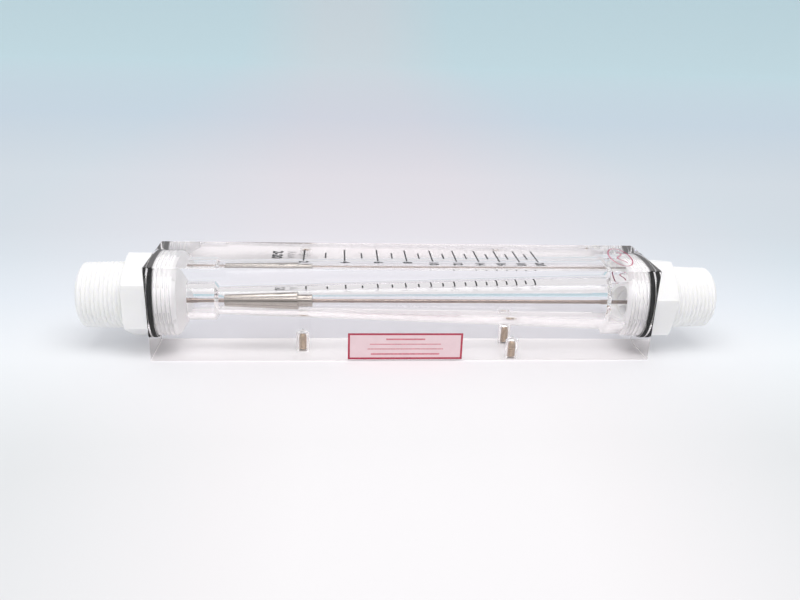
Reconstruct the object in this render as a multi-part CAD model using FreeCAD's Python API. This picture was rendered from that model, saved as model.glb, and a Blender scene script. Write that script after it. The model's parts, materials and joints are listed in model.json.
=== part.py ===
"""In-line acrylic rotameter with male pipe-thread ends.

A clear block is bored with a tapered metering tube. A turned float slides on a guide rod in it, and the
rod is held by a spider in each end fitting. The meter lies on its back, the face that is screwed to a
panel: X runs along the bore from the inlet (-X) to the outlet (+X), Z points out of the scale face, and
the origin is the centre of the back face. Units are millimetres.
"""
import FreeCAD, Part
import math
import os

X_AXIS = FreeCAD.Vector(1, 0, 0)
Z_AXIS = FreeCAD.Vector(0, 0, 1)

# Acrylic block
BODY_LENGTH = 262.2
BODY_WIDTH = 44.45
BODY_HEIGHT = 50.8
AXIS_HEIGHT = 28.2
EDGE_BREAK = 0.4
DRILL_POINT_DEG = 118.0

# Bore of the block
PORT_DEPTH = 14.2
PORT_HOLE_RADIUS = 17.9
INLET_BORE_RADIUS = 10.4
INLET_BORE_END = -98.4
METER_START_RADIUS = 7.5
METER_END_RADIUS = 15.25
METER_END = 106.1

# Joint between block and fitting: a straight thread, kept plain at its pitch radius, and an O-ring gland
JOINT_THREAD_RADIUS = 18.36
JOINT_THREAD_DEPTH = 13.9
FITTING_REACH = 13.4
GLAND_RADIUS = 20.0
GLAND_DEPTH = 3.0
NECK_RADIUS = 17.34
O_RING_WIDTH = 2.7
O_RING_CORNER = 0.5

# End fittings
OVERALL_LENGTH = 335.1
HEX_ACROSS_FLATS = 39.7
HEX_THICKNESS = 12.35
HEX_CORNER_CHAMFER = 0.6
INLET_HEX_TURN_DEG = 31.6
OUTLET_HEX_TURN_DEG = 15.5
PIPE_END_RADIUS = 16.2
PIPE_TAPER = 1 / 32
PIPE_CHAMFER = 1.6
WATERWAY_RADIUS = 12.4
THREAD_START_CHAMFER = 0.9

# Rod supports: a spider at the bottom of a counterbore in the inner end of each fitting
SPIDER_RADIUS = 14.0
SPIDER_THICKNESS = 4.0
SPIDER_RECESS = 5.0
SPIDER_ARM_COUNT = 3
SPIDER_ARM_WIDTH = 2.6
HUB_RADIUS = 3.6
HUB_LENGTH = 6.0
HUB_TIP_CHAMFER = 0.8
ROD_SOCKET_DEPTH = 4.0

# Guide rod and its two stops
ROD_RADIUS = 1.6
ROD_CHAMFER = 0.3
STOP_RADIUS = 2.0
INLET_STOP_END = -108.6
OUTLET_STOP_START = 107.6
OUTLET_STOP_LENGTH = 6.3

# Float, standing where the meter came to rest
FLOAT_NOSE = -94.3
FLOAT_NOSE_RADIUS = 4.87
FLOAT_HEAD = -56.4
FLOAT_HEAD_RADIUS = 7.3
FLOAT_TAIL = -49.1
FLOAT_TAIL_RADIUS = 5.03
FLOAT_HOLE_RADIUS = 1.9
FLOAT_EDGE = 0.25
TAIL_GROOVE_CENTRE = -51.0
TAIL_GROOVE_WIDTH = 0.5
TAIL_GROOVE_DEPTH = 0.35

# Threaded inserts in the back face, each in a drilled hole: (name, x, y)
INSERT_PLACES = [
    ("mounting_insert_inlet", -54.1, 0.0),
    ("mounting_insert_outlet_near", 57.0, -15.2),
    ("mounting_insert_outlet_far", 57.0, 15.2),
]
INSERT_RADIUS = 3.2
INSERT_RECESS = 1.0
INSERT_LENGTH = 8.6
INSERT_NOSE_LENGTH = 2.7
INSERT_BORE_RADIUS = 2.07
INSERT_BORE_DEPTH = 7.0
INSERT_LEAD_IN = 0.35
INSERT_HOLE_DEPTH = 10.2

BODY_END = BODY_LENGTH / 2
OVERALL_END = OVERALL_LENGTH / 2
FITTING_INNER_END = BODY_END - FITTING_REACH
SPIDER_FACE = FITTING_INNER_END + SPIDER_RECESS
ROD_END = SPIDER_FACE + ROD_SOCKET_DEPTH
DRILL_SLOPE = math.tan(math.radians(DRILL_POINT_DEG / 2))


def turned(profile, side=1):
    """Solid of revolution about the bore axis from (x, radius) points; side -1 mirrors it to the inlet."""
    points = [FreeCAD.Vector(side * x, 0, AXIS_HEIGHT + radius) for x, radius in profile]
    face = Part.Face(Part.makePolygon(points + points[:1]))
    return face.revolve(FreeCAD.Vector(0, 0, AXIS_HEIGHT), X_AXIS, 360)


def rod_between(radius, x_start, x_end):
    """Plain cylinder on the bore axis."""
    return Part.makeCylinder(radius, x_end - x_start, FreeCAD.Vector(x_start, 0, AXIS_HEIGHT), X_AXIS)


def cone_length(large_radius, small_radius):
    """Length of the cone that a drill point leaves between two radii."""
    return (large_radius - small_radius) / DRILL_SLOPE


def body_bore():
    """The through hole: O-ring glands, threaded ports, inlet bore and tapered metering bore."""
    port_floor = BODY_END - PORT_DEPTH
    gland_floor = BODY_END - GLAND_DEPTH
    thread_end = BODY_END - JOINT_THREAD_DEPTH
    return turned([
        (-BODY_END, 0),
        (-BODY_END, GLAND_RADIUS),
        (-gland_floor, GLAND_RADIUS),
        (-gland_floor, JOINT_THREAD_RADIUS),
        (-thread_end, JOINT_THREAD_RADIUS),
        (-thread_end, PORT_HOLE_RADIUS),
        (-port_floor, PORT_HOLE_RADIUS),
        (-port_floor + cone_length(PORT_HOLE_RADIUS, INLET_BORE_RADIUS), INLET_BORE_RADIUS),
        (INLET_BORE_END, INLET_BORE_RADIUS),
        (INLET_BORE_END + cone_length(INLET_BORE_RADIUS, METER_START_RADIUS), METER_START_RADIUS),
        (METER_END, METER_END_RADIUS),
        (METER_END + cone_length(PORT_HOLE_RADIUS, METER_END_RADIUS), PORT_HOLE_RADIUS),
        (thread_end, PORT_HOLE_RADIUS),
        (thread_end, JOINT_THREAD_RADIUS),
        (gland_floor, JOINT_THREAD_RADIUS),
        (gland_floor, GLAND_RADIUS),
        (BODY_END, GLAND_RADIUS),
        (BODY_END, 0),
    ])


def insert_hole(x, y):
    """Blind hole for one insert, with the cone of the drill point at its end."""
    hole = Part.makeCylinder(INSERT_RADIUS, INSERT_HOLE_DEPTH, FreeCAD.Vector(x, y, 0), Z_AXIS)
    point = Part.makeCone(INSERT_RADIUS, 0, cone_length(INSERT_RADIUS, 0),
                          FreeCAD.Vector(x, y, INSERT_HOLE_DEPTH), Z_AXIS)
    return hole.fuse(point)


def make_body():
    """Rectangular acrylic block with broken edges, bored from end to end."""
    corner = FreeCAD.Vector(-BODY_END, -BODY_WIDTH / 2, 0)
    block = Part.makeBox(BODY_LENGTH, BODY_WIDTH, BODY_HEIGHT, corner)
    block = block.makeChamfer(EDGE_BREAK, block.Edges)
    holes = [insert_hole(x, y) for _, x, y in INSERT_PLACES]
    return block.cut([body_bore()] + holes)


def hexagon(side, turn_deg):
    """The wrench hexagon, its outer corners turned off; turn_deg is one corner's angle up from -Y."""
    corner_radius = HEX_ACROSS_FLATS / math.sqrt(3)
    outer_face = BODY_END + HEX_THICKNESS
    angles = [math.radians(turn_deg + 60 * index) for index in range(6)]
    corners = [
        FreeCAD.Vector(side * BODY_END, -corner_radius * math.cos(angle),
                       AXIS_HEIGHT + corner_radius * math.sin(angle))
        for angle in angles
    ]
    prism = Part.Face(Part.makePolygon(corners + corners[:1]))
    prism = prism.extrude(FreeCAD.Vector(side * HEX_THICKNESS, 0, 0))
    barrel = turned([
        (BODY_END, 0),
        (BODY_END, corner_radius + 1),
        (outer_face - HEX_CORNER_CHAMFER, corner_radius + 1),
        (outer_face - HEX_CORNER_CHAMFER, corner_radius),
        (outer_face, corner_radius - 2 * HEX_CORNER_CHAMFER),
        (outer_face, 0),
    ], side)
    return prism.common(barrel)


def make_fitting(side, hex_turn_deg):
    """Male adapter: taper pipe thread, hexagon, O-ring neck and straight thread, in one piece."""
    pipe_root = BODY_END + HEX_THICKNESS
    pipe_root_radius = PIPE_END_RADIUS + PIPE_TAPER * (OVERALL_END - pipe_root)
    gland_floor = BODY_END - GLAND_DEPTH
    turning = turned([
        (FITTING_INNER_END, 0),
        (FITTING_INNER_END, JOINT_THREAD_RADIUS - THREAD_START_CHAMFER),
        (FITTING_INNER_END + THREAD_START_CHAMFER, JOINT_THREAD_RADIUS),
        (gland_floor, JOINT_THREAD_RADIUS),
        (gland_floor, NECK_RADIUS),
        (BODY_END + 1, NECK_RADIUS),
        (pipe_root - 1, pipe_root_radius),
        (pipe_root, pipe_root_radius),
        (OVERALL_END - PIPE_CHAMFER, PIPE_END_RADIUS + PIPE_TAPER * PIPE_CHAMFER),
        (OVERALL_END, PIPE_END_RADIUS - PIPE_CHAMFER),
        (OVERALL_END, 0),
    ], side)
    seat_floor = SPIDER_FACE + SPIDER_THICKNESS
    waterway = turned([
        (FITTING_INNER_END, 0),
        (FITTING_INNER_END, SPIDER_RADIUS),
        (seat_floor, SPIDER_RADIUS),
        (seat_floor, WATERWAY_RADIUS),
        (OVERALL_END, WATERWAY_RADIUS),
        (OVERALL_END, 0),
    ], side)
    return turning.fuse(hexagon(side, hex_turn_deg)).cut(waterway).removeSplitter()


def make_o_ring(side):
    """O-ring pressed between the neck and the gland wall, so its round section is a little squared."""
    outer_face = BODY_END - GLAND_DEPTH + O_RING_WIDTH
    corner = FreeCAD.Vector(side * outer_face, 0, AXIS_HEIGHT + NECK_RADIUS)
    section = Part.makePlane(GLAND_RADIUS - NECK_RADIUS, O_RING_WIDTH, corner,
                             FreeCAD.Vector(0, -side, 0), FreeCAD.Vector(0, 0, 1))
    ring = section.revolve(FreeCAD.Vector(0, 0, AXIS_HEIGHT), X_AXIS, 360)
    solid = Part.Solid(ring) if ring.ShapeType == "Shell" else ring
    return solid.makeFillet(O_RING_CORNER, solid.Edges)


def make_rod_support(side):
    """Spider that centres the guide rod in a blind socket and lets the water pass its three arms."""
    tip = SPIDER_FACE + HUB_LENGTH
    back = SPIDER_FACE + SPIDER_THICKNESS
    ring = turned([(SPIDER_FACE, WATERWAY_RADIUS), (SPIDER_FACE, SPIDER_RADIUS),
                   (back, SPIDER_RADIUS), (back, WATERWAY_RADIUS)], side)
    hub = turned([(SPIDER_FACE, 0), (SPIDER_FACE, HUB_RADIUS), (tip - HUB_TIP_CHAMFER, HUB_RADIUS),
                  (tip, HUB_RADIUS - HUB_TIP_CHAMFER), (tip, 0)], side)
    socket = turned([(SPIDER_FACE, 0), (SPIDER_FACE, ROD_RADIUS),
                     (ROD_END, ROD_RADIUS), (ROD_END, 0)], side)
    arm_reach = (WATERWAY_RADIUS + SPIDER_RADIUS) / 2
    arm_start = min(side * SPIDER_FACE, side * back)
    arm = Part.makeBox(SPIDER_THICKNESS, SPIDER_ARM_WIDTH, arm_reach,
                       FreeCAD.Vector(arm_start, -SPIDER_ARM_WIDTH / 2, AXIS_HEIGHT))
    arms = []
    for index in range(SPIDER_ARM_COUNT):
        turned_arm = arm.copy()
        turned_arm.rotate(FreeCAD.Vector(0, 0, AXIS_HEIGHT), X_AXIS, index * 360 / SPIDER_ARM_COUNT)
        arms.append(turned_arm)
    return ring.fuse([hub] + arms).cut(socket).removeSplitter()


def make_guide_rod():
    """Ground rod with chamfered ends, from socket to socket."""
    return turned([
        (-ROD_END, 0),
        (-ROD_END, ROD_RADIUS - ROD_CHAMFER),
        (-ROD_END + ROD_CHAMFER, ROD_RADIUS),
        (ROD_END - ROD_CHAMFER, ROD_RADIUS),
        (ROD_END, ROD_RADIUS - ROD_CHAMFER),
        (ROD_END, 0),
    ])


def make_stop(x_start, x_end):
    """Sleeve on the guide rod that the float comes to rest against."""
    return rod_between(STOP_RADIUS, x_start, x_end).cut(rod_between(ROD_RADIUS, x_start, x_end))


def make_float():
    """Turned float: a long cone up to the reading edge, a shoulder and a grooved tail, drilled for the rod."""
    groove_start = TAIL_GROOVE_CENTRE - TAIL_GROOVE_WIDTH / 2
    groove_end = TAIL_GROOVE_CENTRE + TAIL_GROOVE_WIDTH / 2
    groove_radius = FLOAT_TAIL_RADIUS - TAIL_GROOVE_DEPTH
    return turned([
        (FLOAT_NOSE, FLOAT_HOLE_RADIUS),
        (FLOAT_NOSE, FLOAT_NOSE_RADIUS - FLOAT_EDGE),
        (FLOAT_NOSE + FLOAT_EDGE, FLOAT_NOSE_RADIUS),
        (FLOAT_HEAD - FLOAT_EDGE, FLOAT_HEAD_RADIUS),
        (FLOAT_HEAD, FLOAT_HEAD_RADIUS - FLOAT_EDGE),
        (FLOAT_HEAD, FLOAT_TAIL_RADIUS),
        (groove_start, FLOAT_TAIL_RADIUS),
        (groove_start, groove_radius),
        (groove_end, groove_radius),
        (groove_end, FLOAT_TAIL_RADIUS),
        (FLOAT_TAIL - FLOAT_EDGE, FLOAT_TAIL_RADIUS),
        (FLOAT_TAIL, FLOAT_TAIL_RADIUS - FLOAT_EDGE),
        (FLOAT_TAIL, FLOAT_HOLE_RADIUS),
    ])


def make_insert(x, y):
    """Brass insert below the back face, round-nosed and closed at its inner end, its thread kept plain."""
    mouth = FreeCAD.Vector(x, y, INSERT_RECESS)
    barrel = Part.makeCylinder(INSERT_RADIUS, INSERT_LENGTH, mouth, Z_AXIS)
    nose_radius = (INSERT_RADIUS ** 2 + INSERT_NOSE_LENGTH ** 2) / (2 * INSERT_NOSE_LENGTH)
    nose_centre = INSERT_RECESS + INSERT_LENGTH - nose_radius
    ball = Part.makeSphere(nose_radius, FreeCAD.Vector(x, y, nose_centre))
    shank = Part.makeCylinder(INSERT_RADIUS + 1, INSERT_LENGTH - INSERT_NOSE_LENGTH, mouth, Z_AXIS)
    hole = Part.makeCylinder(INSERT_BORE_RADIUS, INSERT_BORE_DEPTH, mouth, Z_AXIS)
    lead_in = Part.makeCone(INSERT_BORE_RADIUS + INSERT_LEAD_IN, INSERT_BORE_RADIUS, INSERT_LEAD_IN,
                            mouth, Z_AXIS)
    return barrel.common(ball.fuse(shank)).cut([hole, lead_in]).removeSplitter()


def all_nodes():
    """Every sub-part, by the name of its node."""
    nodes = {
        "body": make_body(),
        "inlet_fitting": make_fitting(-1, INLET_HEX_TURN_DEG),
        "outlet_fitting": make_fitting(1, OUTLET_HEX_TURN_DEG),
        "inlet_o_ring": make_o_ring(-1),
        "outlet_o_ring": make_o_ring(1),
        "inlet_rod_support": make_rod_support(-1),
        "outlet_rod_support": make_rod_support(1),
        "guide_rod": make_guide_rod(),
        "inlet_stop_sleeve": make_stop(-SPIDER_FACE, INLET_STOP_END),
        "outlet_stop_collar": make_stop(OUTLET_STOP_START, OUTLET_STOP_START + OUTLET_STOP_LENGTH),
        "float": make_float(),
    }
    for name, x, y in INSERT_PLACES:
        nodes[name] = make_insert(x, y)
    return nodes


os.makedirs("parts", exist_ok=True)
for node_name, node_shape in all_nodes().items():
    node_shape.exportStep("parts/" + node_name + ".step")
    print(node_name, node_shape.ShapeType, "solids", len(node_shape.Solids), "valid", node_shape.isValid(),
          "volume %.1f mm3" % node_shape.Volume)
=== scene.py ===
# %% [markdown]
# # A clear flow meter, lying on its back
# This lesson dresses a rotameter: an acrylic block with a tapered bore, a steel float on a guide rod, and
# white plastic pipe ends. The construction comes in as a fixed frame. Blender adds what the eye needs: glass
# that bends light as a thick block does, threads, the printed scale, and the finish of every surface.

# %% Load the frame
import json
import math

import bmesh
import bpy
from mathutils import Matrix, Vector

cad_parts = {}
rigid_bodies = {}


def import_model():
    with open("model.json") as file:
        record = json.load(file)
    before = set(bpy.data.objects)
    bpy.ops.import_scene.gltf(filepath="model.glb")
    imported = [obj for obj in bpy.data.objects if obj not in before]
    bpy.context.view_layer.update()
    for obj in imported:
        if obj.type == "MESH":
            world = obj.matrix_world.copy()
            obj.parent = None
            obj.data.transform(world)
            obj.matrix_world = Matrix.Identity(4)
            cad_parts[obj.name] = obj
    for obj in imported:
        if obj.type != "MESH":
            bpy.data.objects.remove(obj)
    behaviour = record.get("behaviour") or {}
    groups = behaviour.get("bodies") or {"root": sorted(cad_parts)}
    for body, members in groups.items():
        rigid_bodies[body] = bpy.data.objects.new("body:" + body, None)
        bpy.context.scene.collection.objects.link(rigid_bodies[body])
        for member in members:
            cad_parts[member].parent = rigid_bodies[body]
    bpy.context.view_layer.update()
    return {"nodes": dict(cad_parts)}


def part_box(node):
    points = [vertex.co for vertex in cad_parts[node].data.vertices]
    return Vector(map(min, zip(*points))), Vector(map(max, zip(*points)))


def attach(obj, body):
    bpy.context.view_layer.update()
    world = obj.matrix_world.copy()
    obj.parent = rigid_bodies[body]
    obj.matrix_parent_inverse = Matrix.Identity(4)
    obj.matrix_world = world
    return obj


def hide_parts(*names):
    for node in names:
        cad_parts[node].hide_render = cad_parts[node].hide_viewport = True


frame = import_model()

MM = 0.001

# %% [markdown]
# ## Sizes
# Every place is worked out from the frame's own boxes, so that the looks always fit the construction. The
# bore's inner radii can't be read from a box, so they are named here, as a machinist's drawing has them.

# %% Places from the frame
body_low, body_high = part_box("body")
BODY_END = body_high.x
TOP = body_high.z
NEAR = body_low.y
AXIS_Z = (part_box("guide_rod")[0].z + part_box("guide_rod")[1].z) / 2
print("block: %.1f x %.1f x %.1f mm, bore axis %.1f mm up" %
      (2 * BODY_END / MM, 2 * body_high.y / MM, TOP / MM, AXIS_Z / MM))

# %% Radii and depths, in metres
EDGE_BREAK = 0.4 * MM
PORT_DEPTH = 14.2 * MM
PORT_RADIUS = 17.9 * MM
INLET_BORE_RADIUS = 10.4 * MM
INLET_BORE_END = -98.4 * MM
METER_START_RADIUS = 7.5 * MM
METER_END_RADIUS = 15.25 * MM
METER_END = 106.1 * MM
GLAND_RADIUS = 20.0 * MM
GLAND_DEPTH = 3.0 * MM
NECK_RADIUS = 17.34 * MM
WATERWAY_RADIUS = 12.4 * MM
SPIDER_RADIUS = 14.0 * MM
DRILL_POINT_DEG = 118
DRILL_SLOPE = math.tan(math.radians(DRILL_POINT_DEG / 2))
MERGE_DISTANCE = 0.002 * MM
print("metering bore: radius %.1f to %.2f mm" % (METER_START_RADIUS / MM, METER_END_RADIUS / MM))

# %% [markdown]
# ## A small language for node trees
# Node trees are easier to read as formulas. `Value` wraps one output socket, and Python's operators on it add
# Math nodes; `Net.add` makes any other node from its type, its settings and what goes into its sockets. Both
# serve shader trees and geometry trees alike.

# %% Value and Net
class Value:
    """One output socket, ready for arithmetic."""

    def __init__(self, net, node, output=0):
        self.net = net
        self.node = node
        self.socket = node.outputs[output]

    def out(self, output):
        return Value(self.net, self.node, output)

    def __add__(self, other):
        return self.net.maths("ADD", self, other)

    def __sub__(self, other):
        return self.net.maths("SUBTRACT", self, other)

    def __mul__(self, other):
        return self.net.maths("MULTIPLY", self, other)

    def __truediv__(self, other):
        return self.net.maths("DIVIDE", self, other)

    def __mod__(self, other):
        return self.net.maths("FLOORED_MODULO", self, other)

    def __gt__(self, other):
        return self.net.maths("GREATER_THAN", self, other)


class Net:
    """A node tree being written."""

    def __init__(self, tree):
        self.tree = tree

    def plug(self, socket, value):
        if isinstance(value, Value):
            self.tree.links.new(value.socket, socket)
        else:
            socket.default_value = value

    def add(self, kind, settings=None, sockets=None):
        node = self.tree.nodes.new(kind)
        for name, value in (settings or {}).items():
            if name == "stops":
                set_stops(node.color_ramp, value)
            else:
                setattr(node, name, value)
        for name, value in (sockets or {}).items():
            self.plug(node.inputs[name], value)
        return Value(self, node)

    def finish(self, kind, name, value):
        """Feeds a tree's output node."""
        self.plug(self.tree.nodes.new(kind).inputs[name], value)

    def maths(self, operation, *terms):
        return self.add("ShaderNodeMath", {"operation": operation}, dict(enumerate(terms)))


def set_stops(ramp, stops):
    """Replaces a ramp's stops by (position, colour) pairs."""
    while len(ramp.elements) > 1:
        ramp.elements.remove(ramp.elements[-1])
    for index, (position, colour) in enumerate(stops):
        element = ramp.elements[0] if index == 0 else ramp.elements.new(position)
        element.position = position
        element.color = colour


print("node language ready")

# %% [markdown]
# ## Camera
# The camera stands a little left of the middle and looks down on the block, so the far end of the block is
# turned slightly away.

# %% Camera
camera_data = bpy.data.cameras.new("camera")
camera_data.sensor_width = 36
camera_data.lens = 34.57
camera_data.clip_start = 0.01
camera_data.clip_end = 50
camera = bpy.data.objects.new("camera", camera_data)
bpy.context.scene.collection.objects.link(camera)
CAMERA_PLACE = Vector((-35.65, -385.33, 176.06)) * MM
CAMERA_PITCH, CAMERA_YAW, CAMERA_ROLL = (math.radians(a) for a in (21.249, 4.977, 2.012))


def aim(camera_object, place, pitch, yaw, roll):
    """Points a camera: pitch is downwards from level, yaw is towards +X from +Y, roll is clockwise."""
    forward = Vector((math.sin(yaw) * math.cos(pitch), math.cos(yaw) * math.cos(pitch), -math.sin(pitch)))
    level = Vector((math.cos(yaw), -math.sin(yaw), 0))
    upright = level.cross(forward)
    right = level * math.cos(roll) + upright * math.sin(roll)
    up = upright * math.cos(roll) - level * math.sin(roll)
    turn = Matrix((right, up, -forward)).transposed().to_4x4()
    camera_object.matrix_world = Matrix.Translation(place) @ turn


aim(camera, CAMERA_PLACE, CAMERA_PITCH, CAMERA_YAW, CAMERA_ROLL)
bpy.context.scene.camera = camera
print("camera at", [round(c, 3) for c in camera.location])

# %% [markdown]
# ## Materials
# A material starts from one Principled shader. Clear acrylic is glass to a renderer: it transmits, and bends
# light by its index of 1.49. Lamps would be blocked by it, so for shadow rays it is swapped for a clear film,
# which keeps the inside of the block and the floor under it lit.

# %% Material helpers
def new_material(name):
    material = bpy.data.materials.new(name)
    material.use_nodes = True
    net = Net(material.node_tree)
    shader = material.node_tree.nodes["Principled BSDF"]
    return material, net, shader


def object_place(net):
    """Object coordinates, in metres."""
    return net.add("ShaderNodeTexCoord").out("Object")


def split(net, vector):
    """The X, Y and Z outputs of a vector."""
    return net.add("ShaderNodeSeparateXYZ", sockets={0: vector})


def noise(net, vector, scale, detail, roughness=0.5):
    """Cloudy noise from 0 to 1."""
    sockets = {"Vector": vector, "Scale": scale, "Detail": detail, "Roughness": roughness}
    return net.add("ShaderNodeTexNoise", sockets=sockets).out("Fac")


def mottle(net, shader, share, stops, roughness, swing):
    """Lets a noise drift the colour between stops, and the roughness upwards by a swing."""
    tint = net.add("ShaderNodeValToRGB", {"stops": stops}, {"Fac": share})
    net.plug(shader.inputs["Base Color"], tint)
    net.plug(shader.inputs["Roughness"], share * swing + roughness)


def roughen(net, shader, height, strength, distance):
    """Fine relief that only the shading sees."""
    sockets = {"Height": height, "Strength": strength, "Distance": distance}
    net.plug(shader.inputs["Normal"], net.add("ShaderNodeBump", sockets=sockets))


print("material helpers ready")

# %% Acrylic
FILM = (0.92, 0.92, 0.925, 1)


def acrylic_material(name, roughness, clear, tint):
    """clear is the share of light that goes straight into the glass; a ground face scatters the rest."""
    material, net, shader = new_material(name)
    shader.inputs["Base Color"].default_value = tint
    shader.inputs["Roughness"].default_value = roughness
    shader.inputs["IOR"].default_value = 1.49
    shader.inputs["Transmission Weight"].default_value = clear
    film = net.add("ShaderNodeBsdfTransparent", sockets={"Color": FILM})
    lamp_ray = net.add("ShaderNodeLightPath").out("Is Shadow Ray")
    glass = Value(net, shader)
    mix = net.add("ShaderNodeMixShader", sockets={0: lamp_ray, 1: glass, 2: film})
    net.plug(material.node_tree.nodes["Material Output"].inputs["Surface"], mix)
    return material


ACRYLIC = acrylic_material("acrylic", 0.0, 1.0, (0.985, 0.98, 0.985, 1))
GROUND_ACRYLIC = acrylic_material("acrylic_ground", 0.5, 0.1, (0.97, 0.94, 0.945, 1))
CUT_ACRYLIC = acrylic_material("acrylic_cut", 0.5, 0.4, (0.97, 0.96, 0.965, 1))
DRILLED_ACRYLIC = acrylic_material("acrylic_drilled", 0.14, 0.9, (0.99, 0.95, 0.92, 1))
print("polished, ground, cut and drilled acrylic ready")

# %% White plastic
def pvc_material():
    """Satin plastic that lets a little light in under its skin."""
    material, net, shader = new_material("white_pvc")
    place = object_place(net)
    mottle(net, shader, noise(net, place, 90.0, 3.0),
           [(0.3, (0.93, 0.93, 0.92, 1)), (0.7, (0.96, 0.96, 0.955, 1))], 0.36, 0.12)
    roughen(net, shader, noise(net, place, 900.0, 2.0), 0.08, 0.2 * MM)
    shader.inputs["IOR"].default_value = 1.53
    shader.inputs["Subsurface Weight"].default_value = 0.55
    shader.inputs["Subsurface Radius"].default_value = (1.0, 1.0, 0.9)
    shader.inputs["Subsurface Scale"].default_value = 2.2 * MM
    return material


PVC = pvc_material()
print("pvc ready")

# %% Rubber, steel and brass
def rubber_material():
    material, net, shader = new_material("o_ring_rubber")
    mottle(net, shader, noise(net, object_place(net), 300.0, 3.0),
           [(0.35, (0.003, 0.003, 0.003, 1)), (0.8, (0.008, 0.008, 0.009, 1))], 0.45, 0.15)
    shader.inputs["Specular IOR Level"].default_value = 0.02
    return material


def turned_steel_material(name, dark, light, roughness, ring_scale):
    """Metal with the fine rings that a lathe leaves round the X axis."""
    material, net, shader = new_material(name)
    along = split(net, object_place(net)).out("X")
    rings = net.add("ShaderNodeCombineXYZ", sockets={0: along * ring_scale})
    cut = noise(net, rings, 1.0, 4.0, 0.7)
    mottle(net, shader, cut, [(0.3, dark), (0.7, light)], roughness, 0.15)
    roughen(net, shader, cut, 0.25, 0.05 * MM)
    shader.inputs["Metallic"].default_value = 1.0
    return material


RUBBER = rubber_material()
FLOAT_STEEL = turned_steel_material("float_steel", (0.40, 0.365, 0.33, 1), (0.50, 0.46, 0.42, 1), 0.14, 9000)
ROD_STEEL = turned_steel_material("rod_steel", (0.34, 0.28, 0.25, 1), (0.42, 0.35, 0.32, 1), 0.18, 3000)
BRASS = turned_steel_material("insert_brass", (0.36, 0.26, 0.17, 1), (0.48, 0.36, 0.25, 1), 0.3, 2000)
print("rubber and three metals ready")

# %% Inks and label film
THIN_INK_GAIN = 1.5
THIN_INK_LIFT = 0.01


def ink_material(name, colour):
    """Ink that is paler where it lies thin."""
    material, net, shader = new_material(name)
    thin = tuple(c * THIN_INK_GAIN + THIN_INK_LIFT for c in colour[:3]) + (1,)
    mottle(net, shader, noise(net, object_place(net), 1500.0, 2.0), [(0.35, colour), (0.75, thin)], 0.4, 0.2)
    return material


def label_material():
    """A pale film, slightly cloudy."""
    material, net, shader = new_material("label_film")
    mottle(net, shader, noise(net, object_place(net), 250.0, 3.0),
           [(0.3, (0.85, 0.66, 0.69, 1)), (0.7, (0.89, 0.70, 0.73, 1))], 0.4, 0.1)
    return material


BLACK_INK = ink_material("black_ink", (0.012, 0.012, 0.014, 1))
RED_INK = ink_material("red_ink", (0.38, 0.025, 0.06, 1))
PEN_INK = ink_material("pen_ink", (0.36, 0.02, 0.09, 1))
PALE_RED_INK = ink_material("pale_red_ink", (0.55, 0.18, 0.22, 1))
LABEL_FILM = label_material()
print("four inks and a film ready")

# %% [markdown]
# ## Turned parts
# Fittings, bore and O-rings all come off a lathe, so one geometry tree makes them. Its input is a chain of
# points, one for each row: x along the axis and z for the radius. The tree lays a grid, one line of points
# per row, and rolls it round the axis. A row can also carry a lead: then it climbs the part like a screw, and
# a chain of such rows, crest, flank, root, flank, is a true helical thread with very few faces. A row with a
# flat is pressed to a hexagon.

# %% Rows of a turned profile
ROW_NAMES = ("low", "high", "lead", "cut", "flat", "slope")
THREAD_SHAPE = ((-0.07, 0), (0.07, 0), (0.43, 1), (0.57, 1))
SPARE_TURNS = 2


def row(x, radius, low=None, high=None, lead=0.0, cut=0.0, flat=0.0, slope=0.0):
    """One row. low and high are where a climbing row stops; cut is how deep it lies under the radius."""
    return {"x": x, "radius": radius, "low": x if low is None else low, "high": x if high is None else high,
            "lead": lead, "cut": cut, "flat": flat, "slope": slope}


def thread_rows(low, high, anchor, radius, slope, pitch, depth):
    """The rows of a thread between low and high. radius is its crest's at low, and a crest passes anchor.
    THREAD_SHAPE has shares of the pitch and of the depth. Spare turns are pressed flat at the two ends."""
    first = math.floor((low - anchor) / pitch) - SPARE_TURNS
    last = math.ceil((high - anchor) / pitch) + SPARE_TURNS
    rows = []
    for turn in range(first, last + 1):
        for share, sunk in THREAD_SHAPE:
            x = anchor + (turn + share) * pitch
            rows.append(row(x, radius, low, high, -pitch, sunk * depth, slope=slope))
    return rows


print("row attributes:", ROW_NAMES)

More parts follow.
